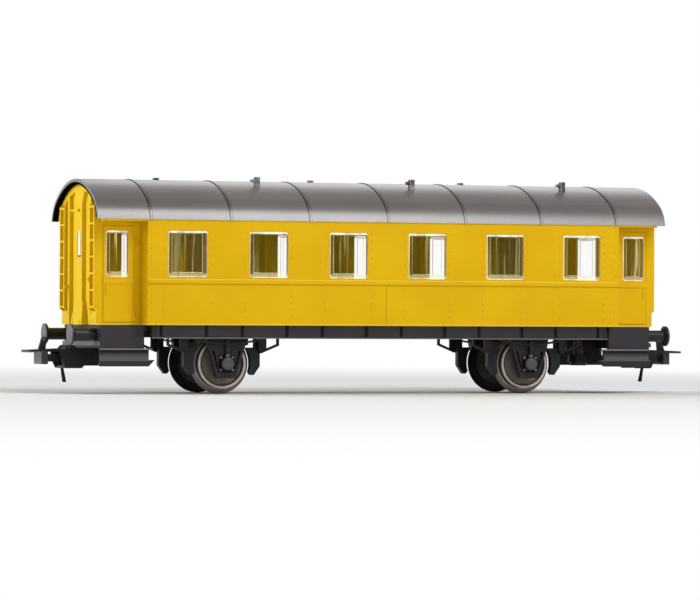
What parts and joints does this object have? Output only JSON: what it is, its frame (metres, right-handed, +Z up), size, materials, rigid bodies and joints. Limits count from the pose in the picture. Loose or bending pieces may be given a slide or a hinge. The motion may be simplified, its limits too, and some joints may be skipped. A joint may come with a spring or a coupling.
{
  "type": "model railway passenger coach",
  "caption": "Two-axle model railway coach with an arched roof, glazed saloon, drawn-in end doors, buffers, swinging loop couplings and rolling wheelsets.",
  "frame": {"origin": "under the middle of the coach, at the bottom of the wheel flanges", "axes": "+X along the coach towards end b, +Y towards its left side, +Z up"},
  "size_m": [0.153, 0.0368, 0.0471],
  "materials": {
    "body_plastic": "satin yellow moulding",
    "roof_plastic": "satin grey moulding",
    "vent_plastic": "satin dark grey",
    "frame_plastic": "satin black-grey moulding",
    "buffer_plastic": "satin black-brown",
    "coupling_plastic": "satin black",
    "disc_plastic": "satin black",
    "wheel_steel": "turned and darkened",
    "pin_steel": "turned",
    "ballast_steel": "dull rolled plate",
    "clear_plastic": "clear moulding"
  },
  "bodies": {
    "coach": {"axle_guard_a_left": "frame_plastic", "axle_guard_a_right": "frame_plastic", "axle_guard_b_left": "frame_plastic", "axle_guard_b_right": "frame_plastic", "ballast_plate": "ballast_steel", "brake_brackets_a": "frame_plastic", "brake_brackets_b": "frame_plastic", "brake_shoes_a": "frame_plastic", "brake_shoes_b": "frame_plastic", "buffer_a_left": "buffer_plastic", "buffer_a_right": "buffer_plastic", "buffer_b_left": "buffer_plastic", "buffer_b_right": "buffer_plastic", "buffer_beam_a": "frame_plastic", "buffer_beam_b": "frame_plastic", "end_wall_a": "body_plastic", "end_wall_b": "body_plastic", "entrance_step_a_left": "frame_plastic", "entrance_step_a_right": "frame_plastic", "entrance_step_b_left": "frame_plastic", "entrance_step_b_right": "frame_plastic", "floor_plate": "frame_plastic", "partition_a": "body_plastic", "partition_b": "body_plastic", "pivot_pin_a": "pin_steel", "pivot_pin_b": "pin_steel", "roof": "roof_plastic", "roof_vents": "vent_plastic", "side_glazing_left": "clear_plastic", "side_glazing_right": "clear_plastic", "side_wall_left": "body_plastic", "side_wall_right": "body_plastic", "solebar_left": "frame_plastic", "solebar_right": "frame_plastic", "vestibule_glazing_a": "clear_plastic", "vestibule_glazing_b": "clear_plastic", "vestibule_wall_a_left": "body_plastic", "vestibule_wall_a_right": "body_plastic", "vestibule_wall_b_left": "body_plastic", "vestibule_wall_b_right": "body_plastic"},
    "wheelset_a": {"axle_a": "wheel_steel", "tyres_a": "wheel_steel", "wheel_discs_a": "disc_plastic"},
    "coupler_a": {"drawbar_a": "coupling_plastic", "coupling_head_a": "coupling_plastic"},
    "loop_a": {"coupling_loop_a": "coupling_plastic"},
    "wheelset_b": {"axle_b": "wheel_steel", "tyres_b": "wheel_steel", "wheel_discs_b": "disc_plastic"},
    "coupler_b": {"drawbar_b": "coupling_plastic", "coupling_head_b": "coupling_plastic"},
    "loop_b": {"coupling_loop_b": "coupling_plastic"}
  },
  "joints": [
    {"name": "wheelset_a_roll", "type": "hinge", "parent": "coach", "child": "wheelset_a", "pos_m": [-0.03525, 0, 0.0066], "axis": [0, 1, 0], "continuous": true},
    {"name": "coupler_a_swing", "type": "hinge", "parent": "coach", "child": "coupler_a", "pos_m": [-0.0525, 0, 0.00768], "axis": [0, 0, 1], "range_deg": [-12, 12]},
    {"name": "loop_a_lift", "type": "hinge", "parent": "coupler_a", "child": "loop_a", "pos_m": [-0.0671, 0, 0.00948], "axis": [0, 1, 0], "range_deg": [0, 15]},
    {"name": "wheelset_b_roll", "type": "hinge", "parent": "coach", "child": "wheelset_b", "pos_m": [0.03525, 0, 0.0066], "axis": [0, 1, 0], "continuous": true},
    {"name": "coupler_b_swing", "type": "hinge", "parent": "coach", "child": "coupler_b", "pos_m": [0.0525, 0, 0.00768], "axis": [0, 0, 1], "range_deg": [-12, 12]},
    {"name": "loop_b_lift", "type": "hinge", "parent": "coupler_b", "child": "loop_b", "pos_m": [0.0671, 0, 0.00948], "axis": [0, -1, 0], "range_deg": [0, 15]}
  ]
}
